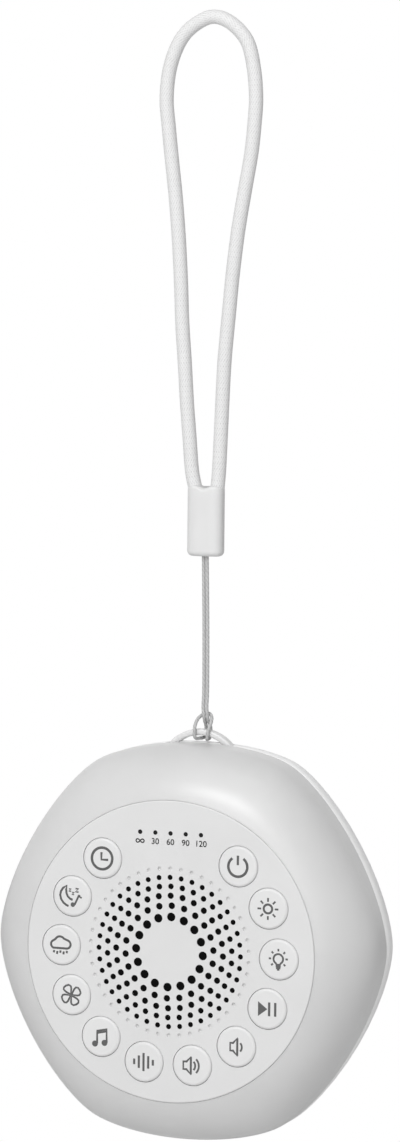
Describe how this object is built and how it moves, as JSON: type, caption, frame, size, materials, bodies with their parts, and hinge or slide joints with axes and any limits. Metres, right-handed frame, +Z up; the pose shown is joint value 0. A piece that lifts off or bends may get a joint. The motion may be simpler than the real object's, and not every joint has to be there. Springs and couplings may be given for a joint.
{
  "type": "portable white noise machine",
  "caption": "Palm-sized sound machine: six-cornered milky housing, round panel with speaker grille, ring of push buttons and indicator row, hanging arch and wrist strap.",
  "frame": {"origin": "inner top of the wrist loop, where a hook or a finger carries the hanging machine", "axes": "+X to the right of someone who faces the buttons, +Y from the front to the back, +Z up along the strap"},
  "size_m": [0.1052, 0.0379, 0.2966],
  "materials": {
    "milky_shell": "milky translucent moulding with a fine matt surface",
    "cover_plastic": "moulded ABS with a fine spark texture",
    "panel_plastic": "moulded ABS, satin",
    "loop_plastic": "moulded ABS, satin",
    "button_plastic": "moulded ABS, satin, with printed pictograms",
    "smoked_plastic": "smoked clear plastic",
    "dust_cloth": "fine black speaker cloth",
    "foam": "closed-cell foam",
    "pressed_steel": "pressed steel, plated",
    "paper_cone": "pressed paper",
    "magnet": "sintered magnet with a steel cap",
    "dark_rubber": "moulded rubber",
    "circuit_board": "glass-fibre laminate with solder mask",
    "dark_plastic": "moulded nylon",
    "led_plastic": "cast epoxy",
    "battery_foil": "laminated foil pouch",
    "socket_steel": "drawn stainless steel round a black tongue",
    "screw_steel": "zinc-plated steel",
    "string_fibre": "braided nylon string",
    "soft_sleeve": "soft moulded thermoplastic, satin",
    "cord_fibre": "braided cotton-look polyester cord"
  },
  "bodies": {
    "housing": {"front_shell": "milky_shell", "back_cover": "cover_plastic", "front_panel": "panel_plastic", "hanging_loop": "loop_plastic", "indicator_light_pipe": "smoked_plastic", "grille_cloth": "dust_cloth", "speaker_gasket": "foam", "speaker_frame": "pressed_steel", "speaker_cone": "paper_cone", "speaker_magnet": "magnet", "speaker_retainer": "dark_rubber", "main_board": "circuit_board", "push_switches": "dark_plastic", "indicator_leds": "led_plastic", "night_light_leds": "led_plastic", "battery_cell": "battery_foil", "battery_tape": "foam", "charge_board": "circuit_board", "charge_port": "socket_steel", "housing_screws": "screw_steel", "board_screws": "screw_steel", "charge_board_screws": "screw_steel", "strap_string": "string_fibre", "strap_sleeve": "soft_sleeve", "wrist_cord": "cord_fibre"},
    "timer_key": {"timer_button": "button_plastic"},
    "lullaby_key": {"lullaby_button": "button_plastic"},
    "rain_key": {"rain_button": "button_plastic"},
    "fan_key": {"fan_button": "button_plastic"},
    "music_key": {"music_button": "button_plastic"},
    "white_noise_key": {"white_noise_button": "button_plastic"},
    "volume_up_key": {"volume_up_button": "button_plastic"},
    "volume_down_key": {"volume_down_button": "button_plastic"},
    "play_key": {"play_button": "button_plastic"},
    "night_light_key": {"night_light_button": "button_plastic"},
    "brightness_key": {"brightness_button": "button_plastic"},
    "power_key": {"power_button": "button_plastic"}
  },
  "joints": [
    {"name": "timer_press", "type": "slide", "parent": "housing", "child": "timer_key", "axis": [0, 1, 0], "range_m": [0, 0.0006], "stiffness_N_per_m": 2700},
    {"name": "lullaby_press", "type": "slide", "parent": "housing", "child": "lullaby_key", "axis": [0, 1, 0], "range_m": [0, 0.0006], "stiffness_N_per_m": 2700},
    {"name": "rain_press", "type": "slide", "parent": "housing", "child": "rain_key", "axis": [0, 1, 0], "range_m": [0, 0.0006], "stiffness_N_per_m": 2700},
    {"name": "fan_press", "type": "slide", "parent": "housing", "child": "fan_key", "axis": [0, 1, 0], "range_m": [0, 0.0006], "stiffness_N_per_m": 2700},
    {"name": "music_press", "type": "slide", "parent": "housing", "child": "music_key", "axis": [0, 1, 0], "range_m": [0, 0.0006], "stiffness_N_per_m": 2700},
    {"name": "white_noise_press", "type": "slide", "parent": "housing", "child": "white_noise_key", "axis": [0, 1, 0], "range_m": [0, 0.0006], "stiffness_N_per_m": 2700},
    {"name": "volume_up_press", "type": "slide", "parent": "housing", "child": "volume_up_key", "axis": [0, 1, 0], "range_m": [0, 0.0006], "stiffness_N_per_m": 2700},
    {"name": "volume_down_press", "type": "slide", "parent": "housing", "child": "volume_down_key", "axis": [0, 1, 0], "range_m": [0, 0.0006], "stiffness_N_per_m": 2700},
    {"name": "play_press", "type": "slide", "parent": "housing", "child": "play_key", "axis": [0, 1, 0], "range_m": [0, 0.0006], "stiffness_N_per_m": 2700},
    {"name": "night_light_press", "type": "slide", "parent": "housing", "child": "night_light_key", "axis": [0, 1, 0], "range_m": [0, 0.0006], "stiffness_N_per_m": 2700},
    {"name": "brightness_press", "type": "slide", "parent": "housing", "child": "brightness_key", "axis": [0, 1, 0], "range_m": [0, 0.0006], "stiffness_N_per_m": 2700},
    {"name": "power_press", "type": "slide", "parent": "housing", "child": "power_key", "axis": [0, 1, 0], "range_m": [0, 0.0006], "stiffness_N_per_m": 2700}
  ]
}
